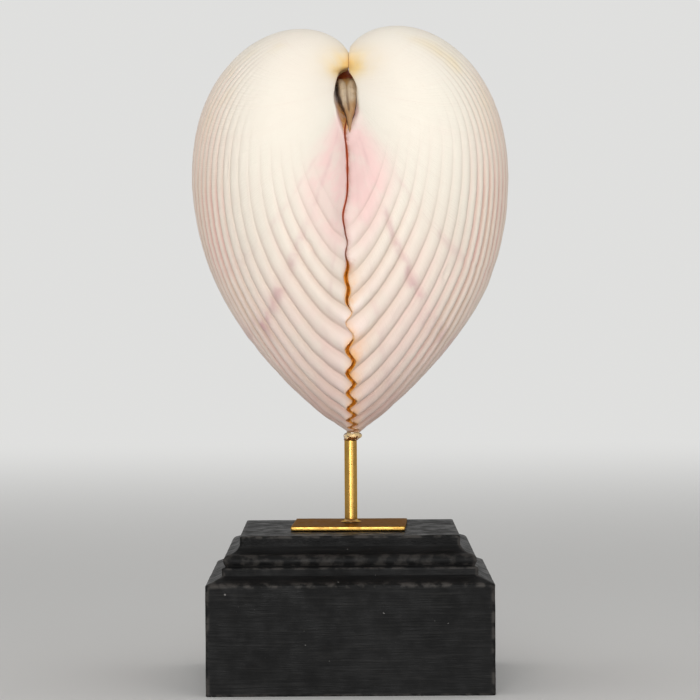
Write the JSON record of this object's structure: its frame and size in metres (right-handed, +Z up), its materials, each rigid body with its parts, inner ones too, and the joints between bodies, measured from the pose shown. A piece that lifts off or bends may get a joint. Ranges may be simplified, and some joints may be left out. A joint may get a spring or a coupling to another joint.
{
  "type": "cockle shell",
  "caption": "Closed heart-shaped ribbed cockle shell, set on edge on a brass post and square plate over a stepped black wooden plinth.",
  "frame": {"origin": "centre of the plinth's underside", "axes": "+Z up, +X across the shell's halves towards the right-hand half, -Y the side of the shell with the ligament"},
  "size_m": [0.1025, 0.129, 0.2089],
  "materials": {
    "shell": "satin",
    "ligament": "dry, fibrous",
    "clear_adhesive": "clear, glossy",
    "brass": "polished",
    "solder": "satin",
    "black_wood": "satin black paint over open grain"
  },
  "bodies": {
    "root": {"right_valve": "shell", "left_valve": "shell", "ligament": "ligament", "adhesive_bead": "clear_adhesive", "brass_post": "brass", "solder_fillet": "solder", "brass_plate": "brass", "plinth": "black_wood"}
  },
  "joints": []
}
